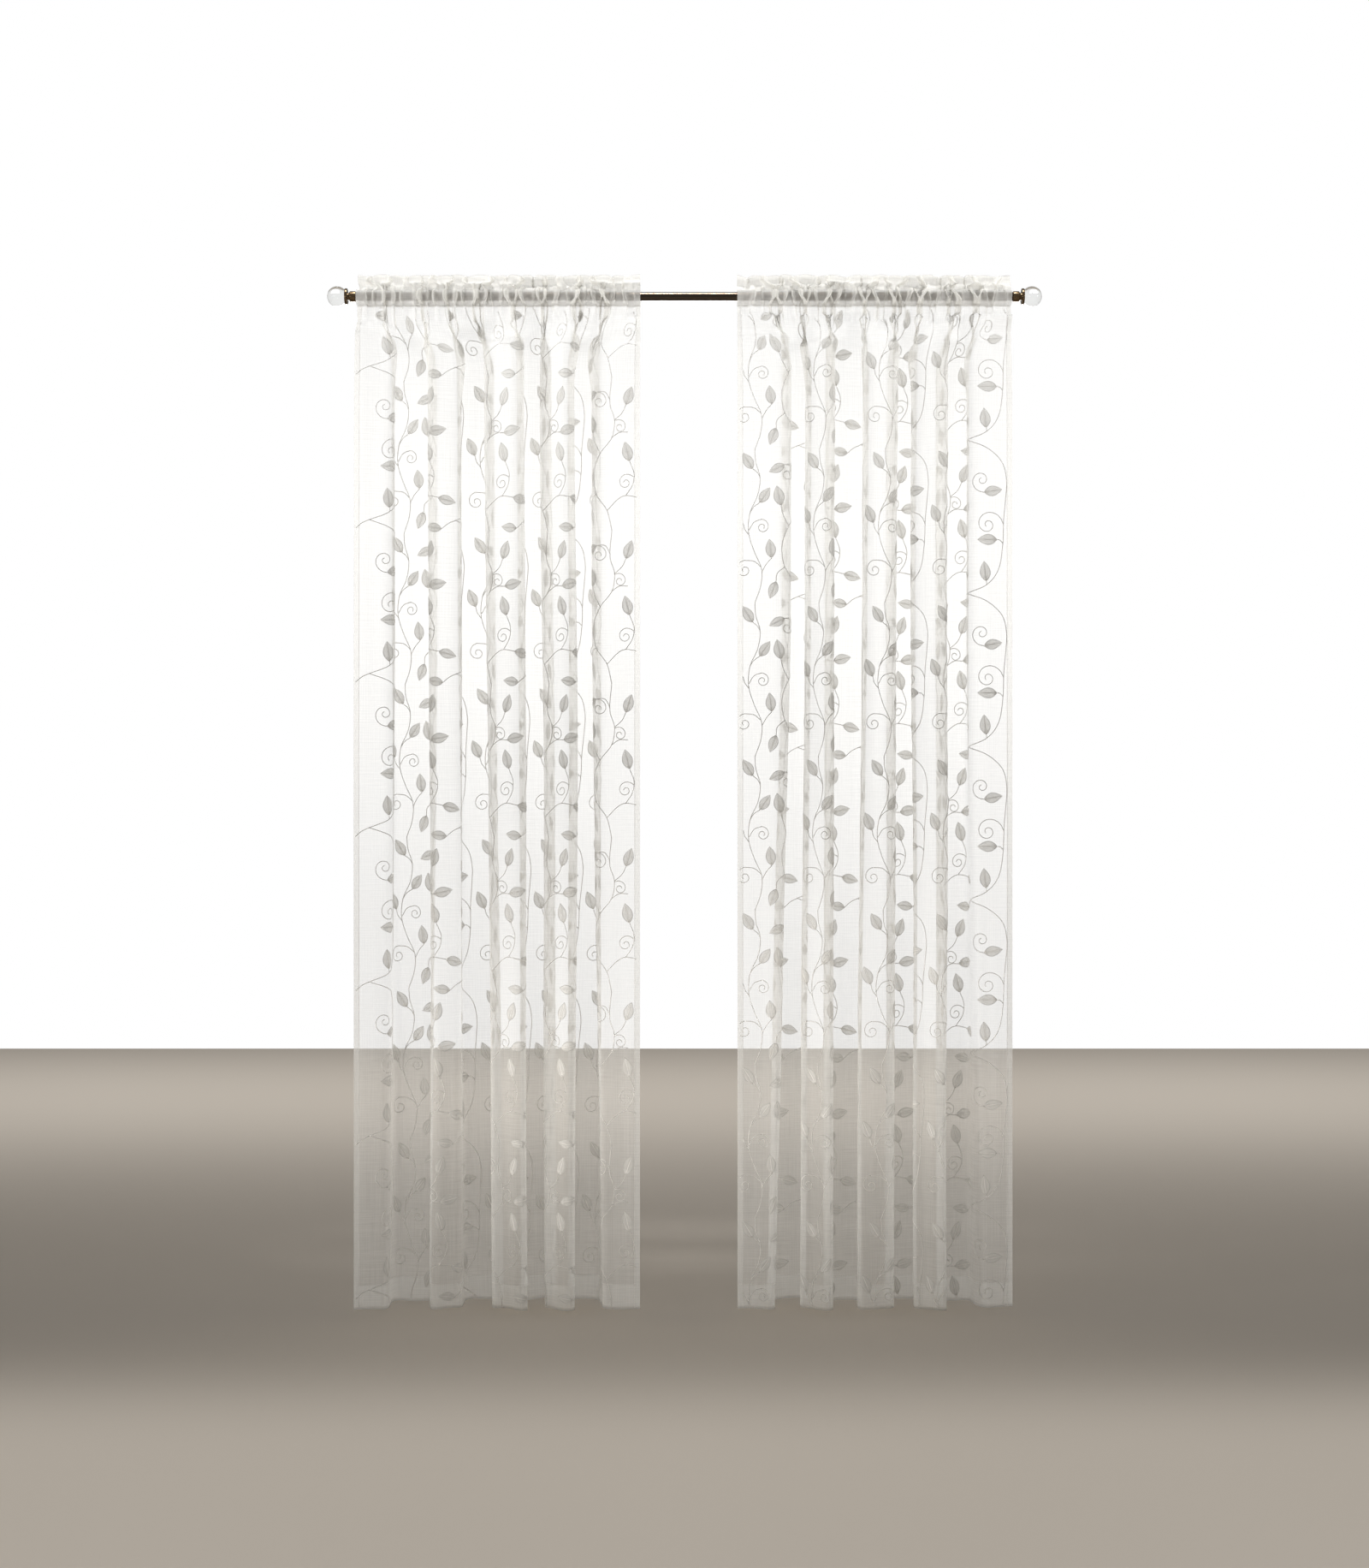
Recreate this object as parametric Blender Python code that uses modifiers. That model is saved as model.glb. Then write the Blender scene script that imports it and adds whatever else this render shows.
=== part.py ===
"""A pair of gathered sheer curtains on one slim metal rod with glass ball finials.

Metres, +Z up. The origin is on the rod's axis, halfway between its ends. The room is on the -Y side.
Each curtain is one sheet: a stand-up header, a pocket around the rod, and the hanging cloth below it.
"""

import math
from collections import namedtuple

import bpy
import numpy as np

# Rod
ROD_RADIUS = 0.009
ROD_HALF_LENGTH = 0.690
FIT_GAP = 0.0003

# Finials: a cap over the rod's end with a bead, a neck and a dished flange that seats a glass ball
COLLAR_START = 0.6805
SLEEVE_RADIUS = 0.0108
SLEEVE_LENGTH = 0.0120
BEAD_RADIUS = 0.0088
BEAD_LENGTH = 0.0018
NECK_RADIUS = 0.0074
NECK_LENGTH = 0.0036
FLANGE_RADIUS = 0.0165
FLANGE_THICKNESS = 0.0050
EDGE_BEVEL = 0.0010
DISH_RIM = 0.0135
DISH_POINTS = 4
BALL_RADIUS = 0.0208
BALL_RINGS = 12
ROUND_STEPS = 20

# Cloth
CLOTH_THICKNESS = 0.002
FLAT_WIDTH = 1.270
HEADER_TOP = 0.0475
HEADER_DIP = 0.0020
HEADER_DIP_PITCH = 2.7
POCKET_TOP = 0.0128
POCKET_SHOULDER = 0.0080
POCKET_BOTTOM = -0.0190
HEM_TOP = -2.0360
HEM_BOTTOM = -2.0866
ROD_CLEARANCE = 0.0006

# Gathers at the rod
GATHERS = 30
COLUMNS_PER_GATHER = 3
FLAT_END = 0.030
GATHER_DRIFT = ((2.3, 0.9, 0.30), (5.9, 2.1, 0.16))

# Fan below the pocket, where the gathers run together into the main folds
FAN_HEIGHT = 0.250
MIDDLE_HEIGHT = -0.700
FAN_ROWS = (0.06, 0.20, 0.40, 0.66, 1.0)
LONG_ROWS = (-0.60, -1.08, -1.56)

# Main folds, left to right: the width that each shows halfway down and at the hem, the share of the
# spare cloth that goes into the side wall after it, and the length of cloth that turns the corner
Fold = namedtuple("Fold", "middle_width hem_width wall_share corner")
LEFT_FOLDS = (
    Fold(0.066, 0.069, 0.85, 0.050),
    Fold(0.080, 0.073, 0.85, 0.050),
    Fold(0.051, 0.058, 0.90, 0.046),
    Fold(0.060, 0.062, 1.00, 0.040),
    Fold(0.073, 0.069, 1.10, 0.030),
    Fold(0.057, 0.064, 1.10, 0.030),
    Fold(0.064, 0.058, 1.10, 0.030),
    Fold(0.051, 0.067, 1.00, 0.046),
    Fold(0.085, 0.066, 0.00, 0.000),
)
RIGHT_FOLDS = (
    Fold(0.096, 0.066, 1.05, 0.032),
    Fold(0.048, 0.067, 1.05, 0.032),
    Fold(0.050, 0.060, 1.05, 0.032),
    Fold(0.076, 0.066, 1.00, 0.036),
    Fold(0.057, 0.064, 1.00, 0.036),
    Fold(0.048, 0.057, 1.05, 0.030),
    Fold(0.062, 0.058, 1.05, 0.030),
    Fold(0.053, 0.073, 0.75, 0.056),
    Fold(0.078, 0.057, 0.00, 0.000),
)

# Where each curtain hangs: its left edge, its width on the rod, and where its run of gathers begins
Panel = namedtuple("Panel", "name left width folds gather_phase")
PANELS = (
    Panel("curtain_left", -0.6778, 0.5865, LEFT_FOLDS, 0.4),
    Panel("curtain_right", 0.1090, 0.5670, RIGHT_FOLDS, 2.7),
)

# How finely a section is worked out, and the range, in radians, in which its steepest heading is sought
STATIONS = 2401
BEND_RANGE = (0.5, 3.2)
BEND_HALVINGS = 40

# Round pieces: the angle past which an edge stays sharp, and how near points merge on a turned axis
SHARP_ANGLE = math.radians(40.0)
MERGE_DISTANCE = 0.00001


def clear_scene():
    for old in list(bpy.data.objects):
        bpy.data.objects.remove(old)


def smooth(value):
    value = np.clip(value, 0.0, 1.0)
    return value * value * (3.0 - 2.0 * value)


def gather_count(along, panel):
    """How many gathers lie to the left of each point of the flat width."""
    share = along / FLAT_WIDTH
    drift = sum(
        amount * np.sin(2.0 * math.pi * turns * share + shift + panel.gather_phase)
        for turns, shift, amount in GATHER_DRIFT
    )
    return GATHERS * share + drift


def gather_turn(along, panel):
    """The heading of the small gathers, from -1 to 1, easing off at the plain side hems."""
    ends = smooth(along / FLAT_END) * smooth((FLAT_WIDTH - along) / FLAT_END)
    return ends * np.sin(2.0 * math.pi * gather_count(along, panel))


def fold_turn(along, panel, toward_hem):
    """The heading of the main folds: 0 across a fold's face and 1 or -1 along its side walls."""
    widths = [(1.0 - toward_hem) * f.middle_width + toward_hem * f.hem_width for f in panel.folds]
    spare = FLAT_WIDTH - sum(widths)
    shares = sum(f.wall_share for f in panel.folds)
    heading = np.zeros_like(along)
    reached = 0.0
    direction = 1.0
    for width, fold in zip(widths, panel.folds[:-1]):
        start = reached + width
        end = start + spare * fold.wall_share / shares
        rise = smooth((along - start) / fold.corner + 0.5)
        fall = smooth((along - end) / fold.corner + 0.5)
        heading += direction * (rise - fall)
        reached = end
        direction = -direction
    return heading


def section(panel, height):
    """One level of a curtain, seen from above: where each station of its flat width comes to lie."""
    along = np.linspace(0.0, FLAT_WIDTH, STATIONS)
    step = along[1] - along[0]
    fan = float(smooth((POCKET_BOTTOM - height) / FAN_HEIGHT))
    toward_hem = float(np.clip((MIDDLE_HEIGHT - height) / (MIDDLE_HEIGHT - HEM_BOTTOM), 0.0, 1.0))
    turn = math.cos(fan * math.pi / 2.0) * gather_turn(along, panel)
    turn += math.sin(fan * math.pi / 2.0) * fold_turn(along, panel, toward_hem)
    low, high = BEND_RANGE
    for _ in range(BEND_HALVINGS):
        bend = (low + high) / 2.0
        if np.cos(bend * turn).sum() * step > panel.width:
            low = bend
        else:
            high = bend
    heading = bend * turn
    x = np.concatenate(([0.0], np.cumsum(np.cos((heading[1:] + heading[:-1]) / 2.0)) * step))
    y = np.concatenate(([0.0], np.cumsum(np.sin((heading[1:] + heading[:-1]) / 2.0)) * step))
    slope, middle = np.polyfit(along, y, 1)
    y = y - slope * along - middle
    return along, panel.left + x * panel.width / x[-1], y


def column_places(panel):
    """Where the mesh's columns cross the flat width: a few to each gather, closer where they bunch."""
    along = np.linspace(0.0, FLAT_WIDTH, STATIONS)
    counts = gather_count(along, panel)
    first = math.ceil(counts[0] * COLUMNS_PER_GATHER + 0.5)
    last = math.floor(counts[-1] * COLUMNS_PER_GATHER - 0.5)
    inner = (np.arange(first, last + 1) + 0.5) / COLUMNS_PER_GATHER
    return np.concatenate(([0.0], np.interp(inner, counts, along), [FLAT_WIDTH]))


def curtain(panel):
    """One sheet with its pocket: a front sheet from header to hem, and the pocket's back behind the rod."""
    places = column_places(panel)
    gather_depth = float(np.abs(section(panel, 0.0)[2]).max())
    pocket = ROD_RADIUS + ROD_CLEARANCE + CLOTH_THICKNESS / 2.0 + gather_depth
    verts = []

    def row(height, forward=0.0, dips=0.0):
        along, x, y = section(panel, height)
        start = len(verts)
        for place in places:
            turn = 2.0 * math.pi * gather_count(place, panel) / HEADER_DIP_PITCH
            drop = dips * (0.5 + 0.5 * math.sin(turn))
            verts.append((np.interp(place, along, x), np.interp(place, along, y) - forward, height - drop))
        return range(start, len(verts))

    front = [row(HEADER_TOP, dips=HEADER_DIP), row(POCKET_TOP)]
    front += [row(POCKET_SHOULDER, pocket), row(-POCKET_SHOULDER, pocket), row(POCKET_BOTTOM)]
    back = [front[1], row(POCKET_SHOULDER, -pocket), row(-POCKET_SHOULDER, -pocket), front[4]]
    front += [row(POCKET_BOTTOM - share * FAN_HEIGHT) for share in FAN_ROWS]
    front += [row(height) for height in LONG_ROWS + (HEM_TOP, HEM_BOTTOM)]
    faces = []
    for rows in (front, back):
        for upper, lower in zip(rows, rows[1:]):
            for i in range(len(places) - 1):
                faces.append((upper[i], lower[i], lower[i + 1], upper[i + 1]))
    mesh = bpy.data.meshes.new(panel.name)
    mesh.from_pydata(verts, [], faces)
    mesh.shade_smooth()
    sheet = bpy.data.objects.new(panel.name, mesh)
    solid = sheet.modifiers.new("cloth thickness", "SOLIDIFY")
    solid.solidify_mode = "NON_MANIFOLD"
    solid.nonmanifold_thickness_mode = "FIXED"
    solid.nonmanifold_boundary_mode = "FLAT"
    solid.thickness = CLOTH_THICKNESS
    solid.offset = 0.0
    return sheet


def rod():
    bpy.ops.mesh.primitive_cylinder_add(
        vertices=ROUND_STEPS,
        radius=ROD_RADIUS,
        depth=2.0 * ROD_HALF_LENGTH,
        rotation=(0.0, math.pi / 2.0, 0.0),
    )
    tube = bpy.context.active_object
    tube.data.shade_smooth()
    tube.data.set_sharp_from_angle(angle=SHARP_ANGLE)
    return tube


def flange_end():
    """How far the flange's rim stands from the sleeve's open end."""
    return SLEEVE_LENGTH + BEAD_LENGTH + NECK_LENGTH + FLANGE_THICKNESS


def ball_centre():
    """How far the ball's centre stands from the sleeve's open end, seated in the flange's dish."""
    return flange_end() + math.sqrt((BALL_RADIUS + FIT_GAP) ** 2 - DISH_RIM**2)


def collar(side):
    """A turned cap: its outline runs from the dish's middle, over the rim and down to the bore."""
    dish = BALL_RADIUS + FIT_GAP
    rim_angle = math.asin(DISH_RIM / dish)
    outline = []
    for i in range(DISH_POINTS + 1):
        angle = rim_angle * i / DISH_POINTS
        outline.append((dish * math.sin(angle), ball_centre() - dish * math.cos(angle)))
    bead_end = SLEEVE_LENGTH + BEAD_LENGTH
    neck_end = bead_end + NECK_LENGTH
    bore_radius = ROD_RADIUS + FIT_GAP
    bore_end = ROD_HALF_LENGTH + FIT_GAP - COLLAR_START
    outline += [
        (FLANGE_RADIUS - EDGE_BEVEL, flange_end()),
        (FLANGE_RADIUS, flange_end() - EDGE_BEVEL),
        (FLANGE_RADIUS, neck_end + EDGE_BEVEL),
        (FLANGE_RADIUS - EDGE_BEVEL, neck_end),
        (NECK_RADIUS, neck_end),
        (NECK_RADIUS, bead_end),
        (BEAD_RADIUS, bead_end),
        (BEAD_RADIUS, SLEEVE_LENGTH),
        (SLEEVE_RADIUS - EDGE_BEVEL, SLEEVE_LENGTH),
        (SLEEVE_RADIUS, SLEEVE_LENGTH - EDGE_BEVEL),
        (SLEEVE_RADIUS, 0.0),
        (bore_radius, 0.0),
        (bore_radius, bore_end),
        (0.0, bore_end),
    ]
    mesh = bpy.data.meshes.new("collar")
    points = [(radius, 0.0, out) for radius, out in outline]
    mesh.from_pydata(points, [(i, i + 1) for i in range(len(outline) - 1)], [])
    turned = bpy.data.objects.new("collar", mesh)
    screw = turned.modifiers.new("turned", "SCREW")
    screw.steps = ROUND_STEPS
    screw.render_steps = ROUND_STEPS
    screw.use_merge_vertices = True
    screw.merge_threshold = MERGE_DISTANCE
    turned.location = (side * COLLAR_START, 0.0, 0.0)
    turned.rotation_euler = (0.0, side * math.pi / 2.0, 0.0)
    return turned


def glass_ball(side):
    bpy.ops.mesh.primitive_uv_sphere_add(
        segments=ROUND_STEPS,
        ring_count=BALL_RINGS,
        radius=BALL_RADIUS,
        location=(side * (COLLAR_START + ball_centre()), 0.0, 0.0),
        rotation=(0.0, side * math.pi / 2.0, 0.0),
    )
    ball = bpy.context.active_object
    ball.data.shade_smooth()
    return ball


def material(name, colour, roughness, metallic=0.0, transmission=0.0):
    finish = bpy.data.materials.new(name)
    finish.use_nodes = True
    shader = finish.node_tree.nodes["Principled BSDF"]
    shader.inputs["Base Color"].default_value = (*colour, 1.0)
    shader.inputs["Roughness"].default_value = roughness
    shader.inputs["Metallic"].default_value = metallic
    shader.inputs["Transmission Weight"].default_value = transmission
    return finish


def place(collection, thing, name, finish):
    thing.name = name
    for home in list(thing.users_collection):
        home.objects.unlink(thing)
    collection.objects.link(thing)
    thing.data.materials.clear()
    thing.data.materials.append(finish)


def main():
    clear_scene()
    collection = bpy.data.collections.new("sheer_curtain_pair_on_rod")
    bpy.context.scene.collection.children.link(collection)
    voile = material("voile", (0.86, 0.85, 0.81), 0.85)
    bronze = material("dark bronze", (0.10, 0.08, 0.06), 0.28, metallic=1.0)
    brass = material("antique brass", (0.30, 0.22, 0.13), 0.30, metallic=1.0)
    glass = material("clear glass", (1.0, 1.0, 1.0), 0.02, transmission=1.0)
    for panel in PANELS:
        place(collection, curtain(panel), panel.name, voile)
    place(collection, rod(), "rod", bronze)
    for side, name in ((-1.0, "left"), (1.0, "right")):
        place(collection, collar(side), "collar_" + name, brass)
        place(collection, glass_ball(side), "glass_ball_" + name, glass)


main()
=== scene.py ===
"""Looks of a pair of sheer voile curtains on one slim rod with glass ball finials.

Metres, +Z up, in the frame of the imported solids: the origin is on the rod's axis, halfway between its
ends, and the room is on the -Y side. Each curtain is one cut of voile. Its flat width is gathered and
folded as the solid is, only finer, and its length runs up the back of the pocket, over the header, down
the front to the hem, and up the inside of the turned hem. The vine embroidery is drawn on the flat cloth
and carried onto its folds.
"""

import math
from collections import namedtuple

import bmesh
import bpy
import numpy as np
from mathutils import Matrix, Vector


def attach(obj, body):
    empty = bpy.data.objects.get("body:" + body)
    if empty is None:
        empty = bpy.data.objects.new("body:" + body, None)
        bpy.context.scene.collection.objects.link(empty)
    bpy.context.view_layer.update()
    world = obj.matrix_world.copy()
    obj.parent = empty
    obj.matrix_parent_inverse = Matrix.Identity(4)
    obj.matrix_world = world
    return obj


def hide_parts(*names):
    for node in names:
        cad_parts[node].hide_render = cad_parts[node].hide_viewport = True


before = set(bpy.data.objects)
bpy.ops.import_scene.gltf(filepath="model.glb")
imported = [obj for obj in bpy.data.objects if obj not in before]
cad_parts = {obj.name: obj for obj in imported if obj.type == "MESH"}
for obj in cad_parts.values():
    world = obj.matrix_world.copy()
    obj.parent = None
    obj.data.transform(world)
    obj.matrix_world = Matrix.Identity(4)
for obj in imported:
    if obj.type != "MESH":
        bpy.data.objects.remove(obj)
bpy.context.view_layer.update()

# Sizes shared with the solids. The ball's centre is measured from the collar's open end
ROD_RADIUS = 0.009
ROD_HALF_LENGTH = 0.690
FIT_GAP = 0.0003
COLLAR_START = 0.6805
Step = namedtuple("Step", "radius length")
FLANGE = Step(0.0165, 0.0050)
NECK = Step(0.0074, 0.0036)
BEAD = Step(0.0088, 0.0018)
SLEEVE = Step(0.0108, 0.0120)
COLLAR_LENGTH = SLEEVE.length + BEAD.length + NECK.length + FLANGE.length
DISH_RIM = 0.0135
BALL_RADIUS = 0.0208
BALL_CENTRE = COLLAR_LENGTH + math.sqrt((BALL_RADIUS + FIT_GAP) ** 2 - DISH_RIM**2)
FLAT_WIDTH = 1.270
HEADER_TOP = 0.0475
POCKET_TOP = 0.0128
POCKET_BOTTOM = -0.0190
HEM_TOP = -2.0360
HEM_BOTTOM = -2.0866
FAN_HEIGHT = 0.250
MIDDLE_HEIGHT = -0.700

# Main folds, left to right, as in the solids: the width that each shows halfway down and at the hem,
# the share of the spare cloth in the side wall after it, and the length of cloth that turns the corner
Fold = namedtuple("Fold", "middle_width hem_width wall_share corner")
LEFT_FOLDS = (
    Fold(0.066, 0.069, 0.85, 0.050), Fold(0.080, 0.073, 0.85, 0.050), Fold(0.051, 0.058, 0.90, 0.046),
    Fold(0.060, 0.062, 1.00, 0.040), Fold(0.073, 0.069, 1.10, 0.030), Fold(0.057, 0.064, 1.10, 0.030),
    Fold(0.064, 0.058, 1.10, 0.030), Fold(0.051, 0.067, 1.00, 0.046), Fold(0.085, 0.066, 0.00, 0.000),
)
RIGHT_FOLDS = (
    Fold(0.096, 0.066, 1.05, 0.032), Fold(0.048, 0.067, 1.05, 0.032), Fold(0.050, 0.060, 1.05, 0.032),
    Fold(0.076, 0.066, 1.00, 0.036), Fold(0.057, 0.064, 1.00, 0.036), Fold(0.048, 0.057, 1.05, 0.030),
    Fold(0.062, 0.058, 1.05, 0.030), Fold(0.053, 0.073, 0.75, 0.056), Fold(0.078, 0.057, 0.00, 0.000),
)

# How each fold's face turns a little toward one side, in radians, left to right
LEFT_TILTS = (0.10, -0.12, 0.16, 0.10, -0.30, 0.18, -0.34, 0.12, -0.10)
RIGHT_TILTS = (-0.06, 0.14, -0.32, 0.16, 0.08, 0.14, -0.32, 0.18, 0.06)

# Where each curtain hangs, as in the solids, the phase of its gathers' and ripples' sines, and where the
# embroidery's repeat begins on its flat cloth
Panel = namedtuple("Panel", "side node left width folds tilts gather_phase repeat_start")
PANELS = (
    Panel("left", "curtain_left", -0.6778, 0.5865, LEFT_FOLDS, LEFT_TILTS, 0.4, (0.012, 0.020)),
    Panel("right", "curtain_right", 0.1090, 0.5670, RIGHT_FOLDS, RIGHT_TILTS, 2.7, (-0.116, -0.130)),
)

# The places across the flat width at which a section is worked out, and the range, in radians, in which
# its steepest heading is sought
STATIONS = np.linspace(0.0, FLAT_WIDTH, 2401)
BEND_RANGE = (0.5, 3.2)
BEND_HALVINGS = 40

# The visual cloth: its columns and rows, half its thickness, how far it clears the rod, how far the
# header's two layers puff out, how far a turned hem lies behind the front, the side hems, and the power
# that rounds the pocket, where 2 is an ellipse and more is fuller
COLUMNS = np.linspace(0.0, FLAT_WIDTH, 601)
POCKET_ROWS = 14
HEADER_ROWS = 10
FAN_ROWS = 32
BODY_ROWS = 62
HEM_ROWS = 6
CLOTH_HALF = 0.0002
ROD_CLEARANCE = 0.0012
HEADER_PUFF = 0.0010
HEM_GAP = 0.0009
SIDE_HEM_WIDTH = 0.012
SIDE_HEM_COLUMNS = 4
FULLNESS_OF_POCKET = 3.0

# Each gather is a pinch of cloth toward the room. They bunch up above the folds' side walls: at the rod a
# fold's face keeps part of its own width, and the rest of the rod's length is shared out evenly. By sines
# of its number, a gather varies in its width, in the share of it that the pinch takes and in how far it
# leans over, and the leaning sways on the way up. The pocket has many small gathers, which join into fewer
# on the way up the header. Below the pocket the pinches beside a side wall run furthest down. Along the
# side hems the cloth stays flat for a share of the width in which the gathers set in.
Gathers = namedtuple("Gathers", "count most_take less_where_wide lean")
POCKET_GATHERS = Gathers(37, 0.97, 0.50, 1.30)
HEADER_GATHERS = Gathers(17, 0.87, 0.50, 0.60)
GATHER_WIDTH_VARIES = ((0.9, 0.26), (2.6, 0.20))
TAKE_VARIES = (1.7, 0.08)
LEAST_TAKE = 0.1
LEAN_VARIES = 3.1
FACES_KEEP = 0.56
STEEPEST_PINCH = 2.10
STEEPNESS_STEPS = 106
PINCH_SAMPLES = 64
PINCH_SHORTEST = 0.030
PINCH_LONGEST = 0.260
BESIDE_WALL = 0.030
GATHERS_JOINED = 0.7
SWAY_TURN = 14.0
END_GATHER = 0.022
END_FLAT = 0.2

# The header's upper edge: it dips above each pinch, and in slower waves across the flat width
PINCH_DIP = 0.0070
HEADER_DIP = 0.0020
HEADER_DIP_WAVES = 11.0

# Cloth that each fold's face hides behind its neighbour, and the share of the solids' corners that the
# cloth turns in, each halfway down and at the hem. The wall past a corner longer than the soft one slants
# more and more toward the hem: its heading falls short by a share, and the width that it then shows is
# taken off the face before it. A face's tilt eases in and out over a share of the face
TUCK = (0.015, 0.010)
CORNER_SHARE = (0.55, 0.85)
SOFT_CORNER = 0.044
SOFT_SLANT = 0.20
SLANT_SHOWS = 0.015
TILT_EASE = 0.4

# How far down the folds take over from the gathers, and faint waves over them: waves across the flat
# width, how many of them each drifts in a metre of drop, its phase and its size in radians of heading.
# The hem's edge sags in the first of them
FOLDS_BEGIN = 0.130
Wave = namedtuple("Wave", "waves drift phase size")
RIPPLES = (Wave(13.3, 0.35, 0.3, 0.070), Wave(23.9, -0.55, 2.2, 0.060), Wave(41.3, 0.80, 4.0, 0.050))
HEM_SAG = 0.0012

# Stitches, the side hems' seam from the cloth's edge, and embroidery. A leaf is a low dome: powers set
# how near the base it is widest, how round its outline is and how blunt its ends are, a groove along its
# rib is so deep and so wide, and behind the cloth it rises by a share
STITCH_LENGTH = 0.0026
STITCH_PITCH = 0.0036
STITCH_RADIUS = 0.00030
SIDE_SEAM = 0.0108
STEM_HALF_WIDTH = 0.00072
STEM_HALF_HEIGHT = 0.00055
STEM_STEP = 0.0042
TENDRIL_STEPS = 32
LEAF_STEPS = 10
LEAF_STRIPS = 6
LEAF_HALF_WIDTH = 0.27
LEAF_RISE = 0.0011
LEAF_ENDS = (0.015, 0.985)
LEAF_TO_BASE = 0.85
LEAF_ROUNDNESS = 0.9
LEAF_BLUNTNESS = 0.4
RIB_DEPTH = 0.45
RIB_WIDTH = 0.22
BEHIND_SHARE = 0.5
REPEAT_WIDTH = 0.3175
REPEAT_HEIGHT = 0.3160
EDGE_MARGIN = 0.0035

# One repeat of the vine, in millimetres across and up the flat cloth
STEMS = (
    # left vine, a zigzag that forks at its left corner
    (
        (20, 20), (62, 38), (87, 70), (96, 120), (98, 172),
        (102, 215), (104, 254), (94, 292), (62, 320), (20, 336),
    ),
    ((20, 20), (5, 13), (-8, 2)),
    ((62, 38), (61, 45)),
    ((96, 124), (90, 130), (84, 131)),
    # middle vine, a slow wave
    (
        (152, 0), (164, 34), (166, 70), (150, 108), (139, 146),
        (142, 186), (158, 222), (163, 258), (154, 290), (152, 316),
    ),
    ((166, 62), (176, 80), (187, 92)),
    ((165, 74), (150, 86), (130, 88)),
    ((140, 140), (131, 152), (128, 164)),
    ((140, 150), (150, 166), (166, 172)),
    ((142, 186), (150, 198), (162, 206)),
    ((163, 258), (158, 268), (148, 276)),
    # right vine, with forks on both sides
    (
        (246, 0), (236, 40), (214, 74), (208, 118), (222, 158),
        (246, 190), (252, 226), (242, 262), (246, 316),
    ),
    ((214, 74), (198, 60), (196, 44)),
    ((222, 158), (211, 180), (206, 200)),
    ((246, 190), (262, 200), (280, 200)),
    ((252, 226), (268, 240), (276, 256)),
    ((243, 266), (232, 284), (214, 284)),
    # stems that reach toward the next repeat
    ((236, 40), (258, 62), (276, 70), (302, 66)),
    ((276, 70), (290, 92), (293, 116), (284, 140)),
)
Leaf = namedtuple("Leaf", "across up angle length")
LEAVES = (
    Leaf(61, 45, 97, 42), Leaf(84, 131, 180, 42), Leaf(56, 228, 10, 40),
    Leaf(187, 92, 97, 40), Leaf(128, 164, 112, 40), Leaf(162, 206, 55, 38),
    Leaf(148, 276, 122, 40), Leaf(196, 44, 250, 38), Leaf(206, 200, 102, 42),
    Leaf(280, 200, 12, 40), Leaf(276, 256, 72, 40), Leaf(302, 66, 345, 38),
    Leaf(284, 140, 104, 42), Leaf(214, 284, 205, 36), Leaf(-8, 2, 172, 36),
)
Tendril = namedtuple("Tendril", "across up heading radius turns end_radius")
TENDRILS = (
    Tendril(97, 164, 94, 33, 1.62, 5), Tendril(56, 228, 190, 26, -1.50, 4),
    Tendril(130, 88, 182, 20, 1.40, 4), Tendril(214, 284, 15, 20, -1.40, 4),
    Tendril(292, 108, 125, 20, 1.40, 4), Tendril(166, 172, 5, 16, -1.40, 4),
    Tendril(252, 224, 40, 17, -1.35, 4),
)
MILLIMETRE = 0.001

# A length too small to matter
TINY = 1e-9

# How much of the view the voile's threads cover, how much more where the heading crushes them together
# in puckers too small to model, and how softly that begins at the pocket's lower seam
VOILE_COVER = 0.45
PACKED_COVER = 0.21
SEAM_SOFTNESS = 0.003

# Voile's colour from the front and through it, the share of its light that comes through, and its uneven
# weave: waves to a metre across and down it, their detail and roughness, and how much more or less of the
# view they cover. Noise is spread from its own middle range
VOILE_COLOUR = (0.860, 0.852, 0.825, 1.0)
VOILE_THROUGH = (0.880, 0.870, 0.840, 1.0)
THROUGH_SHARE = 0.46
Weave = namedtuple("Weave", "across down detail roughness cover")
WEFT = Weave(14.0, 620.0, 3.0, 0.65, 0.055)
WARP = Weave(620.0, 10.0, 2.0, 0.50, 0.035)
CLOUDS = Weave(9.0, 9.0, 2.0, 0.50, 0.020)
NOISE_RANGE = (0.30, 0.70)

# Embroidery thread: its colour, how dark the painted shade in the hollows between stitches is, how low
# each kind of stitch goes there, both in relief and in that painted shade, stitches to a leaf's length
# and to a metre of stem, and how far a leaf's slant
THREAD_COLOUR = (0.90, 0.885, 0.85)
STITCH_HOLLOW_PAINTED_SHADE = 0.60
LEAF_LOW = 0.55
STEM_LOW = 0.30
LEAF_STITCHES = 26.0
STEM_STITCHES = 420.0
LEAF_SLANT = 12.0

# How much of a leaf's surface its stitches cover at its rib, base and rim and in its open fill, and where
# one gives way to the other: two places, and how open the stitches are at each
LEAF_COVER = (0.80, 0.42)
RIB_TO_FILL = (0.01, 0.07, 0.0, 1.0)
FILL_TO_RIM = (0.42, 0.50, 1.0, 0.25)
BASE_TO_FILL = (0.0, 0.28, 0.1, 1.0)

# Plated metals, each with the waves of its grain to a metre along and across the rod, and clear glass
Metal = namedtuple("Metal", "bright dark roughness grain")
BRONZE = Metal((0.115, 0.090, 0.070), (0.070, 0.052, 0.038), 0.17, (7.0, 1500.0, 1500.0))
BRASS = Metal((0.30, 0.21, 0.12), (0.06, 0.04, 0.025), 0.24, (900.0, 300.0, 300.0))
ROUGHNESS_VARIES = (-0.05, 0.07)
GLASS_COLOUR = (0.95, 0.955, 0.945, 1.0)
GLASS_WAVES = (60.0, 60.0, 60.0)

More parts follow.
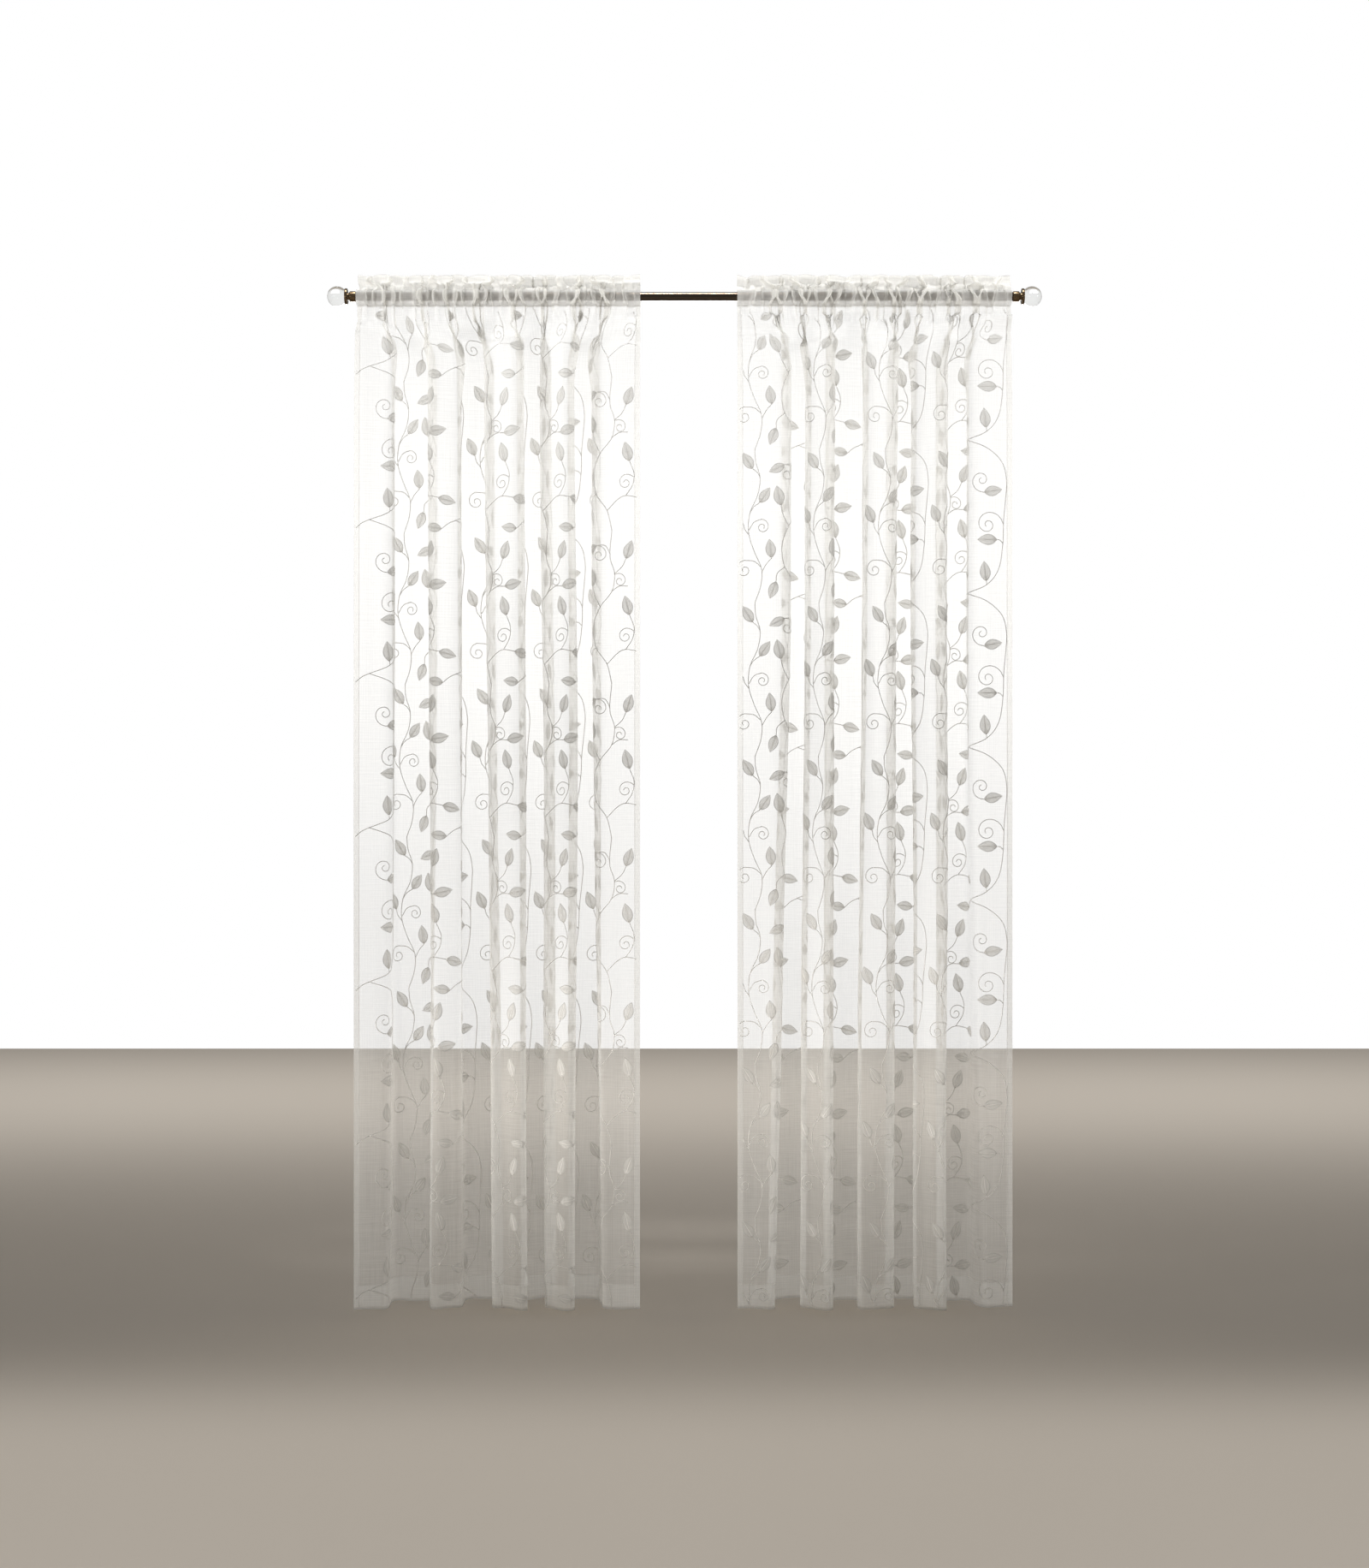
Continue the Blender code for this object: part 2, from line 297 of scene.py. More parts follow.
# Fine relief of each surface: its strength, and the depth in metres that it stands for
WEAVE_RELIEF = (0.25, 0.0006)
STITCH_RELIEF = (0.6, 0.0004)
METAL_RELIEF = (0.03, 0.0002)
GLASS_RELIEF = (0.05, 0.0005)

# Turned metal and glass
MERGE_DISTANCE = 0.000001
ROUND_STEPS = 72
BALL_RINGS = 40
DISH_STEPS = 10
EDGE_ROUNDING = 0.0008
EDGE_STEPS = 4
LONGEST_ROUNDING = 0.45

# The photograph's frame: its height in pixels, the metres that one pixel spans where the curtains hang
# and the rod's row, and the camera that shows the same
IMAGE_HEIGHT = 1832
METRES_PER_PIXEL = 0.001772
ROD_ROW = 346.5
CAMERA_DISTANCE = 4.5
SENSOR = 36.0

# Room: the floor just below the hems, how much of the white surround shows through glass, and how bright
# the surround is as a light
FLOOR_GAP = 0.012
FLOOR_ACROSS = (-4.2, 4.2)
FLOOR_AWAY = (-4.4, 4.45)
FLOOR_COLOUR = (0.70, 0.63, 0.545, 1.0)
SEEN_THROUGH_GLASS = 0.85
SURROUND_COLOUR = (1.0, 0.99, 0.97, 1.0)
SURROUND_LIGHT = 0.28
CLEAR_BOUNCES = 48

# Soft lamps: where each is, what it is aimed at, its width and height, its watts, and the degrees that
# its light spreads over
WHITE = (1.0, 1.0, 1.0)
Lamp = namedtuple("Lamp", "name place aim size watts spread colour", defaults=(WHITE,))
LAMPS = (
    Lamp("key", (-4.0, -1.9, -1.80), (0.15, 0.0, -1.59), (0.6, 0.4), 1.6, 16.0, (1.0, 0.965, 0.92)),
    Lamp("fill", (3.7, -2.3, -1.80), (-0.1, 0.0, -1.59), (0.6, 0.4), 0.6, 18.0, (1.0, 0.97, 0.93)),
    Lamp("upper", (-2.4, -3.6, -0.5), (0.0, 0.0, -0.5), (2.4, 0.5), 1.2, 36.0),
    Lamp("back", (0.0, 2.6, -0.6), (0.0, 0.0, -0.6), (3.0, 0.9), 15.0, 40.0),
    Lamp("far_floor", (0.0, 3.1, 0.9), (0.0, 3.1, -2.1), (7.6, 2.0), 26.0, 72.0),
    Lamp("near_floor", (0.0, -2.45, -0.6), (0.0, -2.45, -2.1), (7.6, 3.7), 25.0, 32.0),
    Lamp("side_left", (-3.4, -1.3, 0.15), (-0.2, 0.0, 0.0), (0.3, 0.3), 1.4, 24.0),
    Lamp("side_right", (3.4, -1.3, 0.15), (0.2, 0.0, 0.0), (0.3, 0.3), 1.2, 24.0),
    Lamp("strip", (0.0, -0.11, 0.36), (0.0, 0.0, 0.0), (1.5, 0.024), 0.28, 16.0),
)


def smooth(value):
    """An ease from 0 to 1, level at both ends."""
    value = np.clip(value, 0.0, 1.0)
    return value * value * (3.0 - 2.0 * value)


def turns(amount):
    """Full turns in radians."""
    return 2.0 * math.pi * amount


def between(pair, share):
    """The value that lies a share of the way from the first of a pair to the second."""
    return pair[0] * (1.0 - share) + pair[1] * share


# Sections of the folded cloth


def softness(fold, toward_hem):
    """How far the wall after a fold slants, instead of standing square to the room, from 0 to 1."""
    return toward_hem if fold.corner > SOFT_CORNER else 0.0


def face_width(fold, toward_hem):
    """The flat width of a fold's face: what shows of it, less what a slanting wall shows, and its tuck."""
    shows = between((fold.middle_width, fold.hem_width), toward_hem)
    return shows - SLANT_SHOWS * softness(fold, toward_hem) + between(TUCK, toward_hem)


FoldEdges = namedtuple("FoldEdges", "begin end wall_end")


def fold_edges(panel, toward_hem):
    """Where each fold's face begins and ends on the flat cloth, and where the wall after it ends."""
    widths = [face_width(fold, toward_hem) for fold in panel.folds]
    spare = FLAT_WIDTH - sum(widths)
    shares = sum(fold.wall_share for fold in panel.folds)
    edges = []
    reached = 0.0
    for width, fold in zip(widths, panel.folds):
        wall_end = reached + width + spare * fold.wall_share / shares
        edges.append(FoldEdges(reached, reached + width, wall_end))
        reached = wall_end
    return edges


def rod_place(panel, along):
    """Where cloth sits along the rod: the faces keep part of their width, and the walls bunch up."""
    flat = [0.0]
    shown = [0.0]
    for edges, fold in zip(fold_edges(panel, 0.0), panel.folds):
        flat += [edges.end, edges.wall_end + TINY]
        shown += [shown[-1] + fold.middle_width] * 2
    faces = np.interp(along, flat, shown) * panel.width / shown[-1]
    even = along * panel.width / FLAT_WIDTH
    return FACES_KEEP * faces + (1.0 - FACES_KEEP) * even


def pinch_steepness(squeeze, takes):
    """The steepest heading of a pinch that takes a share of its gather and draws all of it in so far."""
    angles = np.linspace(0.0, STEEPEST_PINCH, STEEPNESS_STEPS)
    share = np.arange(PINCH_SAMPLES) / PINCH_SAMPLES
    kept = np.cos(angles[:, None] * np.sin(turns(share))[None, :]).mean(axis=1)
    return np.interp(-(squeeze - 1.0 + takes) / takes, -kept, angles)


def wall_nearness(panel, edges):
    """How near each gather lies to the side wall of a main fold, from 0 to 1."""
    middles = (edges[1:] + edges[:-1]) / 2.0
    walls = np.array([(fold.end + fold.wall_end) / 2.0 for fold in fold_edges(panel, 0.0)[:-1]])
    distance = np.abs(middles[:, None] - walls[None, :]).min(axis=1)
    return np.exp(-((distance / BESIDE_WALL) ** 2))


Gathering = namedtuple("Gathering", "edges places takes steeps lengths lean")


def plan_gathers(panel, gathers):
    """Where each gather lies on the flat cloth and along the rod, and how its pinch is shaped."""
    number = np.arange(gathers.count + 1)
    varies = sum(size * np.sin(wave * number + panel.gather_phase) for wave, size in GATHER_WIDTH_VARIES)
    edges = FLAT_WIDTH * (number + varies) / gathers.count
    edges[0] = 0.0
    edges[-1] = FLAT_WIDTH
    places = rod_place(panel, edges)
    squeeze = np.diff(places) / np.diff(edges)
    wave, size = TAKE_VARIES
    takes = gathers.most_take - gathers.less_where_wide * squeeze + size * np.sin(wave * number[:-1])
    takes = np.clip(takes, LEAST_TAKE, 1.0)
    lengths = between((PINCH_SHORTEST, PINCH_LONGEST), wall_nearness(panel, edges))
    return Gathering(edges, places, takes, pinch_steepness(squeeze, takes), lengths, gathers.lean)


def in_gathers(along, gathering):
    """Each point's gather, by number, and its place across that gather, from 0 to 1."""
    edges = gathering.edges
    number = np.clip(np.searchsorted(edges, along, side="right") - 1, 0, len(edges) - 2)
    return number, (along - edges[number]) / (edges[number + 1] - edges[number])


def up_header(height):
    """A height's share of the way up the header, from 0 at the pocket's seam to 1 at the upper edge."""
    return min(max((height - POCKET_TOP) / (HEADER_TOP - POCKET_TOP), 0.0), 1.0)


def joined(height):
    """How far the pocket's small gathers have joined into the header's at a height, from 0 to 1."""
    return float(smooth(up_header(height) / GATHERS_JOINED))


def pinch_turn(along, panel, gathering, height):
    """The heading of one plan of gathers, which ease off on their way down from the pocket."""
    number, place = in_gathers(along, gathering)
    inside = np.clip((place - 0.5) / gathering.takes[number], -0.5, 0.5)
    strength = smooth(1.0 - (POCKET_BOTTOM - height) / gathering.lengths[number])
    sway = turns(SWAY_TURN * max(height - POCKET_BOTTOM, 0.0))
    lean = gathering.lean * np.sin(LEAN_VARIES * number + panel.gather_phase + sway)
    pinch = gathering.steeps[number] * np.sin(turns(inside))
    return strength * (lean * np.cos(math.pi * inside) + pinch)


def gather_turn(along, panel, plans, height):
    """The heading of all the gathers at a height. They leave the side hems flat."""
    ends = smooth(along / END_GATHER - END_FLAT) * smooth((FLAT_WIDTH - along) / END_GATHER - END_FLAT)
    return ends * between([pinch_turn(along, panel, plan, height) for plan in plans], joined(height))


def fold_turn(along, panel, toward_hem):
    """The heading of the main folds: near 0 across a fold's face and 1 or -1 along its side walls."""
    heading = np.zeros_like(along)
    direction = 1.0
    for edges, fold, tilt in zip(fold_edges(panel, toward_hem), panel.folds, panel.tilts):
        ease = TILT_EASE * (edges.end - edges.begin)
        heading += tilt * smooth((along - edges.begin) / ease) * smooth((edges.end - along) / ease)
        if fold.wall_share > 0.0:
            corner = fold.corner * between(CORNER_SHARE, toward_hem)
            rise = smooth((along - edges.end) / corner + 0.5)
            fall = smooth((along - edges.wall_end) / corner + 0.5)
            heading += direction * (1.0 - SOFT_SLANT * softness(fold, toward_hem)) * (rise - fall)
        direction = -direction
    return heading


def ripple_turn(along, panel, height):
    """The heading of faint waves that wander over the hanging cloth."""
    share = along / FLAT_WIDTH
    return sum(
        w.size * np.sin(turns(w.waves * share + w.drift * height) + w.phase + panel.gather_phase)
        for w in RIPPLES
    )


def anchoring(along, x, gathering, hung_x, fan):
    """How far each point moves along the rod for the gathers to run straight from the rod to the folds."""
    edges = gathering.edges
    planned = between((gathering.places, np.interp(edges, along, hung_x)), fan)
    return np.interp(along, edges, planned - np.interp(edges, along, x))


Section = namedtuple("Section", "x y heading")


def fanned(height):
    """How far the folds have taken over from the gathers at a height, from 0 to 1."""
    return float(smooth((POCKET_BOTTOM - height) / FOLDS_BEGIN))


def section(panel, plans, height):
    """One level of a curtain, seen from above: each station's place from the left side on, and heading."""
    step = STATIONS[1] - STATIONS[0]
    fan = fanned(height)
    toward_hem = float(np.clip((MIDDLE_HEIGHT - height) / (MIDDLE_HEIGHT - HEM_BOTTOM), 0.0, 1.0))
    folds = math.sin(fan * math.pi / 2.0) * fold_turn(STATIONS, panel, toward_hem)
    gathers = gather_turn(STATIONS, panel, plans, height)
    bent = folds + (1.0 - fan) * gathers
    rest = fan * (gathers + ripple_turn(STATIONS, panel, height))
    low, high = BEND_RANGE
    for _ in range(BEND_HALVINGS):
        bend = (low + high) / 2.0
        if np.cos(bend * bent + rest).sum() * step > panel.width:
            low = bend
        else:
            high = bend
    heading = bend * bent + rest
    between_stations = (heading[1:] + heading[:-1]) / 2.0
    x = np.concatenate(([0.0], np.cumsum(np.cos(between_stations)) * step))
    y = np.concatenate(([0.0], np.cumsum(np.sin(between_stations)) * step))
    slope, middle = np.polyfit(STATIONS, y, 1)
    y = y - slope * STATIONS - middle
    return Section(x * panel.width / x[-1], y, heading)


def anchored(panel, plans, height, hung_x):
    """A section whose gathers lie where they are planned, as far down as they reach."""
    level = section(panel, plans, height)
    if height < POCKET_BOTTOM - PINCH_LONGEST:
        return level
    shifts = [anchoring(STATIONS, level.x, plan, hung_x, fanned(height)) for plan in plans]
    return level._replace(x=level.x + between(shifts, joined(height)))


# The cloth as a grid of rows down its length and columns across its width


def pocket_bulge(height):
    """How far the pocket stands off the rod's plane, from 0 at its seams to 1 beside the rod."""
    limit = POCKET_TOP if height > 0.0 else -POCKET_BOTTOM
    share = min(abs(height) / limit, 1.0)
    return (1.0 - share**FULLNESS_OF_POCKET) ** (1.0 / FULLNESS_OF_POCKET)


# A row's height, its share of the pocket's stand-off behind the rod, or less than 0 in front of it, and
# how far it lies behind the middle of the cloth's layers
Row = namedtuple("Row", "height pocket gap")


def pocket_heights():
    """Heights from the pocket's upper seam to its lower one, closer together near the seams."""
    middle = (POCKET_TOP + POCKET_BOTTOM) / 2.0
    half = (POCKET_TOP - POCKET_BOTTOM) / 2.0
    return [middle + half * math.cos(math.pi * i / POCKET_ROWS) for i in range(POCKET_ROWS + 1)]


def header_gap(height):
    """How far each of the header's two layers puffs out from the middle between them."""
    return HEADER_PUFF * math.sqrt(max(math.sin(math.pi * up_header(height)), 0.0))


def even_rows(first, last, count, gap=0.0):
    """Rows at even heights, of which the first is left out."""
    return [Row(height, 0.0, gap) for height in np.linspace(first, last, count + 1)[1:]]


def front_rows():
    """The rows of the cloth's front, from the fold at the header's top to the hem's lower edge."""
    fan_end = POCKET_BOTTOM - FAN_HEIGHT
    heights = np.linspace(HEADER_TOP, POCKET_TOP, HEADER_ROWS + 1)
    rows = [Row(height, 0.0, -header_gap(height)) for height in heights]
    rows += [Row(height, -pocket_bulge(height), 0.0) for height in pocket_heights()[1:]]
    rows += even_rows(POCKET_BOTTOM, fan_end, FAN_ROWS)
    rows += even_rows(fan_end, HEM_TOP, BODY_ROWS)
    return rows + even_rows(HEM_TOP, HEM_BOTTOM, HEM_ROWS)


def all_rows():
    """Every row in the order of the cut cloth: pocket's back, header's back, front, and turned hem."""
    heights = np.linspace(POCKET_TOP, HEADER_TOP, HEADER_ROWS + 1)[1:-1]
    back = [Row(height, pocket_bulge(height), 0.0) for height in reversed(pocket_heights())]
    back += [Row(height, 0.0, header_gap(height)) for height in heights]
    return back + front_rows() + even_rows(HEM_BOTTOM, HEM_TOP, HEM_ROWS, HEM_GAP)


def lay_rows(panel, rows, along):
    """Where the given rows of the cloth lie, at the given places of its flat width."""
    plans = [plan_gathers(panel, gathers) for gathers in (POCKET_GATHERS, HEADER_GATHERS)]
    at_rod = section(panel, plans, 0.0)
    hung_x = section(panel, plans, POCKET_BOTTOM - PINCH_LONGEST).x
    stand_front = ROD_RADIUS + ROD_CLEARANCE + CLOTH_HALF + at_rod.y.max()
    stand_back = ROD_RADIUS + ROD_CLEARANCE + CLOTH_HALF - at_rod.y.min()
    dips = HEADER_DIP * (0.5 + 0.5 * np.sin(turns(HEADER_DIP_WAVES * along / FLAT_WIDTH)))
    dips += PINCH_DIP * (0.5 - 0.5 * np.cos(turns(in_gathers(along, plans[-1])[1])))
    sag = HEM_SAG * np.sin(turns(along / FLAT_WIDTH * RIPPLES[0].waves))
    points = np.zeros((len(rows), len(along), 3))
    for i, row in enumerate(rows):
        level = anchored(panel, plans, row.height, hung_x)
        x = panel.left + np.interp(along, STATIONS, level.x)
        y = np.interp(along, STATIONS, level.y)
        heading = np.interp(along, STATIONS, level.heading)
        stand = stand_back if row.pocket > 0.0 else stand_front
        down_hem = np.clip((HEM_TOP - row.height) / (HEM_TOP - HEM_BOTTOM), 0.0, 1.0)
        points[i, :, 0] = x - row.gap * np.sin(heading)
        points[i, :, 1] = y + row.gap * np.cos(heading) + row.pocket * stand
        points[i, :, 2] = row.height - dips * up_header(row.height) + sag * down_hem
    return points


Cloth = namedtuple("Cloth", "panel heights points")


def front_of(panel):
    """The front of a curtain's cloth as a grid that the embroidery and the seams are laid on."""
    rows = front_rows()
    return Cloth(panel, np.array([row.height for row in rows]), lay_rows(panel, rows, COLUMNS))


def grid_faces(rows, columns):
    """The four-sided faces of a grid whose points are numbered row by row."""
    first = np.arange(rows - 1)[:, None] * columns + np.arange(columns - 1)[None, :]
    corners = np.stack([first, first + columns, first + columns + 1, first + 1], axis=-1)
    return corners.reshape(-1, 4)


def mesh_object(name, verts, faces, uvs=None):
    """A smooth-shaded mesh object from arrays, with a pair of surface coordinates for each point."""
    mesh = bpy.data.meshes.new(name)
    mesh.from_pydata(np.asarray(verts).tolist(), [], np.asarray(faces).tolist())
    mesh.shade_smooth()
    if uvs is not None:
        layer = mesh.uv_layers.new(name="cloth")
        corners = np.zeros(len(mesh.loops), dtype=np.int64)
        mesh.loops.foreach_get("vertex_index", corners)
        layer.data.foreach_set("uv", np.asarray(uvs, dtype=np.float32)[corners].ravel())
    thing = bpy.data.objects.new(name, mesh)
    bpy.context.scene.collection.objects.link(thing)
    return thing


def gathered(name, pieces):
    """One mesh object from many (points, faces, surface coordinates)."""
    verts, faces, uvs = zip(*pieces)
    starts = np.cumsum([0] + [len(points) for points in verts[:-1]])
    moved = [quads + start for quads, start in zip(faces, starts)]
    return mesh_object(name, np.concatenate(verts), np.concatenate(moved), np.concatenate(uvs))


def grid_piece(points, along, down):
    """A grid's points and faces, with the places across and down the flat cloth as its coordinates."""
    uvs = np.zeros(points.shape[:2] + (2,))
    uvs[..., 0] = along
    uvs[..., 1] = down
    return points.reshape(-1, 3), grid_faces(*points.shape[:2]), uvs.reshape(-1, 2)


def run_along(points):
    """The distance from a line's first point to each of its points, for one line or many side by side."""
    steps = np.linalg.norm(np.diff(points, axis=0), axis=-1)
    return np.concatenate([0.0 * steps[:1], np.cumsum(steps, axis=0)])


def voile(panel, points):
    """A curtain's whole cloth, from the back of its pocket to the inner edge of its turned hem."""
    down = -run_along(points[:, len(COLUMNS) // 2])[:, None]
    return mesh_object("voile_" + panel.side, *grid_piece(points, COLUMNS, down))


def side_hems(panel):
    """The narrow turned hems down both sides, one layer of cloth behind the front."""
    rows = [Row(row.height, 0.0, HEM_GAP) for row in front_rows()[HEADER_ROWS + POCKET_ROWS :]]
    pieces = []
    for edge in (0.0, FLAT_WIDTH - SIDE_HEM_WIDTH):
        along = np.linspace(edge, edge + SIDE_HEM_WIDTH, SIDE_HEM_COLUMNS)
        points = lay_rows(panel, rows, along)
        pieces.append(grid_piece(points, along, points[..., 2]))
    return gathered("side_hems_" + panel.side, pieces)


# Laying threads on the cloth


def on_cloth(cloth, across, height):
    """Points of the cloth's front at the given flat places, and the directions out of it to the room."""
    column = np.clip(across / FLAT_WIDTH, 0.0, 1.0) * (len(COLUMNS) - 1)
    left = np.minimum(column.astype(int), len(COLUMNS) - 2)
    share = (column - left)[:, None]
    levels = -cloth.heights
    upper = np.clip(np.searchsorted(levels, -height, side="right") - 1, 0, len(levels) - 2)
    down = ((-height - levels[upper]) / (levels[upper + 1] - levels[upper]))[:, None]
    a = cloth.points[upper, left]
    b = cloth.points[upper, left + 1]
    c = cloth.points[upper + 1, left]
    d = cloth.points[upper + 1, left + 1]
    place = (a * (1 - share) + b * share) * (1 - down) + (c * (1 - share) + d * share) * down
    sideways = (b - a) * (1 - down) + (d - c) * down
    downward = (c - a) * (1 - share) + (d - b) * share
    outward = -np.cross(sideways, downward)
    outward /= np.linalg.norm(outward, axis=1, keepdims=True)
    return place, outward


def thread(cloth, across, height, half_width, half_height):
    """A four-sided cord laid along flat points of the cloth, half sunk in it, with closed ends."""
    centre, outward = on_cloth(cloth, across, height)
    forward = np.gradient(centre, axis=0)
    forward /= np.maximum(np.linalg.norm(forward, axis=1, keepdims=True), TINY)
    aside = np.cross(forward, outward)
    aside /= np.maximum(np.linalg.norm(aside, axis=1, keepdims=True), TINY)
    ring = [centre + aside * half_width, centre + outward * half_height]
    ring += [centre - aside * half_width, centre - outward * half_height]
    verts = np.stack(ring, axis=1).reshape(-1, 3)
    count = len(across)
    near = np.arange(4)[:, None] + np.arange(count - 1) * 4
    beside = np.roll(near, -1, axis=0)
    sides = np.stack([near, beside, beside + 4, near + 4], axis=-1).reshape(-1, 4)
    last = (count - 1) * 4
    ends = np.array([[3, 2, 1, 0], [last, last + 1, last + 2, last + 3]])
    uvs = np.stack([np.tile(np.arange(4) / 4.0, count), np.repeat(run_along(centre), 4)], axis=1)
    return verts, np.concatenate([sides, ends]), uvs


def seams(cloth):
    """Running stitches: both seams of the pocket, the hem's seam and the side hems."""
    starts = np.arange(STITCH_PITCH, FLAT_WIDTH - STITCH_PITCH, STITCH_PITCH)
    tops = np.arange(POCKET_BOTTOM - STITCH_PITCH, HEM_BOTTOM + STITCH_PITCH, -STITCH_PITCH)
    rows = (POCKET_TOP, POCKET_BOTTOM, HEM_TOP)
    sides = (SIDE_SEAM, FLAT_WIDTH - SIDE_SEAM)
    stitch = np.array([0.0, STITCH_LENGTH])
    ends = [(start + stitch, np.full(2, height)) for height in rows for start in starts]
    ends += [(np.full(2, side), top - stitch) for side in sides for top in tops]
    pieces = [thread(cloth, *pair, STITCH_RADIUS, STITCH_RADIUS) for pair in ends]
    return gathered("seams_" + cloth.panel.side, pieces)


# Embroidery


def smooth_path(points):
    """A Catmull-Rom curve through a stem's points, in metres, in steps of about one stem step."""
    ends = np.array(points, dtype=float) * MILLIMETRE
    ends = np.vstack([2.0 * ends[0] - ends[1], ends, 2.0 * ends[-1] - ends[-2]])
    runs = []
    for a, b, c, d in zip(ends, ends[1:], ends[2:], ends[3:]):
        steps = max(2, int(np.linalg.norm(c - b) / STEM_STEP))
        t = (np.arange(steps) / steps)[:, None]
        cubic = 2.0 * b + (c - a) * t + (2.0 * a - 5.0 * b + 4.0 * c - d) * t**2
        runs.append(0.5 * (cubic + (3.0 * b - a - 3.0 * c + d) * t**3))
    return np.vstack(runs + [ends[-2][None]])


def tendril_path(tendril):
    """A spiral that starts on its stem or leaf and winds in, each turn smaller by the same share."""
    share = np.linspace(0.0, 1.0, TENDRIL_STEPS)
    radius = tendril.radius * (tendril.end_radius / tendril.radius) ** share
    heading = math.radians(tendril.heading)
    side = math.copysign(math.pi / 2.0, tendril.turns)
    middle_across = tendril.across + tendril.radius * math.cos(heading + side)
    middle_up = tendril.up + tendril.radius * math.sin(heading + side)
    angle = heading - side + turns(share * tendril.turns)
    path = np.stack([middle_across + radius * np.cos(angle), middle_up + radius * np.sin(angle)], axis=1)
    return path * MILLIMETRE


def repeats(panel):
    """The flat place of the lower left corner of each repeat that touches the cloth."""
    across_start, up_start = panel.repeat_start
    for column in range(-1, math.ceil(FLAT_WIDTH / REPEAT_WIDTH) + 1):
        for row in range(-1, math.ceil((HEADER_TOP - HEM_BOTTOM) / REPEAT_HEIGHT) + 1):
            yield across_start + column * REPEAT_WIDTH, HEM_BOTTOM + up_start + row * REPEAT_HEIGHT


def is_on_cloth(path):
    """Which points of a path lie below the pocket and clear of the cloth's other edges."""
    across, up = path[:, 0], path[:, 1]
    inside = (across > EDGE_MARGIN) & (across < FLAT_WIDTH - EDGE_MARGIN)
    return inside & (up > HEM_BOTTOM + EDGE_MARGIN) & (up < POCKET_BOTTOM - EDGE_MARGIN)


def runs_on_cloth(path):
    """The stretches of a path that lie on the cloth, two points or more each."""
    keep = is_on_cloth(path)
    breaks = np.flatnonzero(np.diff(keep.astype(int))) + 1
    for run, kept in zip(np.split(path, breaks), np.split(keep, breaks)):
        if kept[0] and len(run) > 1:
            yield run


def vine_stems(cloth):
    """Every stretch of stem and tendril that lies on the cloth."""
    paths = [smooth_path(stem) for stem in STEMS] + [tendril_path(tendril) for tendril in TENDRILS]
    pieces = []
    for corner in repeats(cloth.panel):
        for path in paths:
            for run in runs_on_cloth(path + np.array(corner)):
                pieces.append(thread(cloth, run[:, 0], run[:, 1], STEM_HALF_WIDTH, STEM_HALF_HEIGHT))
    return gathered("vine_stems_" + cloth.panel.side, pieces)


def leaf_grid(leaf):
    """A leaf's flat points, and at each its place from base to tip, from side to side, and its rise."""
    f = np.linspace(*LEAF_ENDS, LEAF_STEPS + 1)[:, None]
    w = np.linspace(-1.0, 1.0, LEAF_STRIPS + 1)[None, :]
    length = leaf.length * MILLIMETRE
    half = LEAF_HALF_WIDTH * length * np.sin(math.pi * f**LEAF_TO_BASE) ** LEAF_ROUNDNESS
    out = f * length + 0.0 * w
    side = half * w
    angle = math.radians(leaf.angle)
    across = leaf.across * MILLIMETRE + out * math.cos(angle) - side * math.sin(angle)
    up = leaf.up * MILLIMETRE + out * math.sin(angle) + side * math.cos(angle)
    rib = 1.0 - RIB_DEPTH * np.exp(-((w / RIB_WIDTH) ** 2))
    rise = LEAF_RISE * np.sqrt(np.maximum(1.0 - w**2, 0.0)) * rib * np.sin(math.pi * f) ** LEAF_BLUNTNESS
    return np.stack([across, up], axis=-1), f + 0.0 * w, w + 0.0 * f, rise


def leaf_piece(cloth, leaf, corner):
    """One satin leaf: a low dome to the room and a lower one behind, closed along its outline."""
    flat, f, w, rise = leaf_grid(leaf)
    path = flat.reshape(-1, 2) + np.array(corner)
    if not is_on_cloth(path).all():
        return None
    place, outward = on_cloth(cloth, path[:, 0], path[:, 1])
    rise = rise.reshape(-1, 1)
    verts = np.concatenate([place + outward * rise, place - outward * rise * BEHIND_SHARE])
    front = grid_faces(*f.shape)
    behind = front[:, ::-1] + f.size
    grid = np.arange(f.size).reshape(f.shape)
    edge = np.concatenate([grid[:, 0], grid[-1, 1:], grid[-2::-1, -1], grid[0, -2::-1]])
    rim = np.stack([edge[1:], edge[:-1], edge[:-1] + f.size, edge[1:] + f.size], axis=1)
    pair = np.stack([w.ravel() * 0.5 + 0.5, f.ravel()], axis=1)
    return verts, np.concatenate([front, behind, rim]), np.concatenate([pair, pair])


def vine_leaves(cloth):
    """Every leaf that lies whole on the cloth."""
    pieces = [leaf_piece(cloth, leaf, corner) for corner in repeats(cloth.panel) for leaf in LEAVES]
    return gathered("vine_leaves_" + cloth.panel.side, [piece for piece in pieces if piece is not None])


# Rod, collars and glass


def rounded(outline, radius):
    """An outline with each of its corners turned into a short curve."""
    corners = np.array(outline, dtype=float)
    points = [corners[0]]
    for before, corner, after in zip(corners, corners[1:], corners[2:]):
        back = before - corner
        ahead = after - corner
        reach = min(radius, LONGEST_ROUNDING * min(np.linalg.norm(back), np.linalg.norm(ahead)))
        begin = corner + back / np.linalg.norm(back) * reach
        end = corner + ahead / np.linalg.norm(ahead) * reach
        for t in np.linspace(0.0, 1.0, EDGE_STEPS + 1):
            points.append(begin * (1.0 - t) ** 2 + corner * 2.0 * t * (1.0 - t) + end * t**2)
    points.append(corners[-1])
    return points


